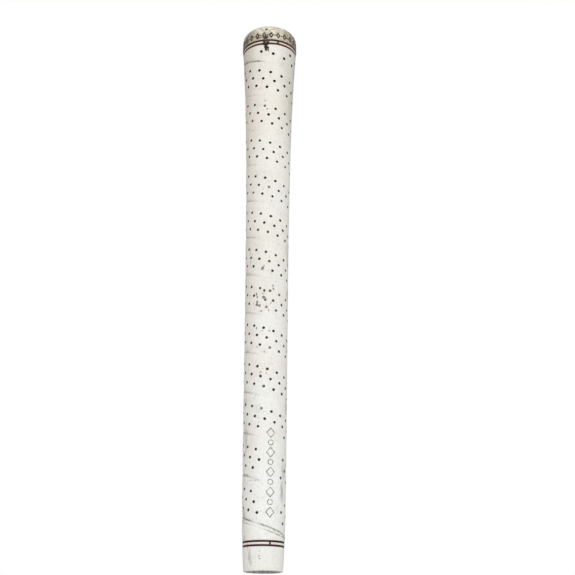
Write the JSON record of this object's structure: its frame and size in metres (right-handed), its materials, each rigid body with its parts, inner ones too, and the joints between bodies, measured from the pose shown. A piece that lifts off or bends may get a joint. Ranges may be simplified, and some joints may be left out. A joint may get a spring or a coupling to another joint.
{
  "type": "golf grip",
  "caption": "Slip-on rubber golf grip moulded like a perforated wound wrap, with a hard end cap, painted stripe grooves, dots and cap marks.",
  "frame": {"origin": "centre of the mouth, on the bore's axis", "axes": "+Z along the bore's axis from the mouth to the butt; -Y is the side that faces the viewer, with the plain panel just to its right"},
  "size_m": [0.0274, 0.0274, 0.268],
  "materials": {
    "sleeve_rubber": "worn off-white rubber, matt",
    "cap_rubber": "yellowed harder rubber, satin",
    "stripe_paint": "dark maroon paint fill",
    "dot_paint": "black paint fill",
    "mark_paint": "dark brown paint fill, worn"
  },
  "bodies": {
    "root": {"grip_sleeve": "sleeve_rubber", "end_cap": "cap_rubber", "butt_stripe_paint": "stripe_paint", "mouth_stripe_paint": "stripe_paint", "perforation_paint": "dot_paint", "cap_mark_paint": "mark_paint"}
  },
  "joints": []
}
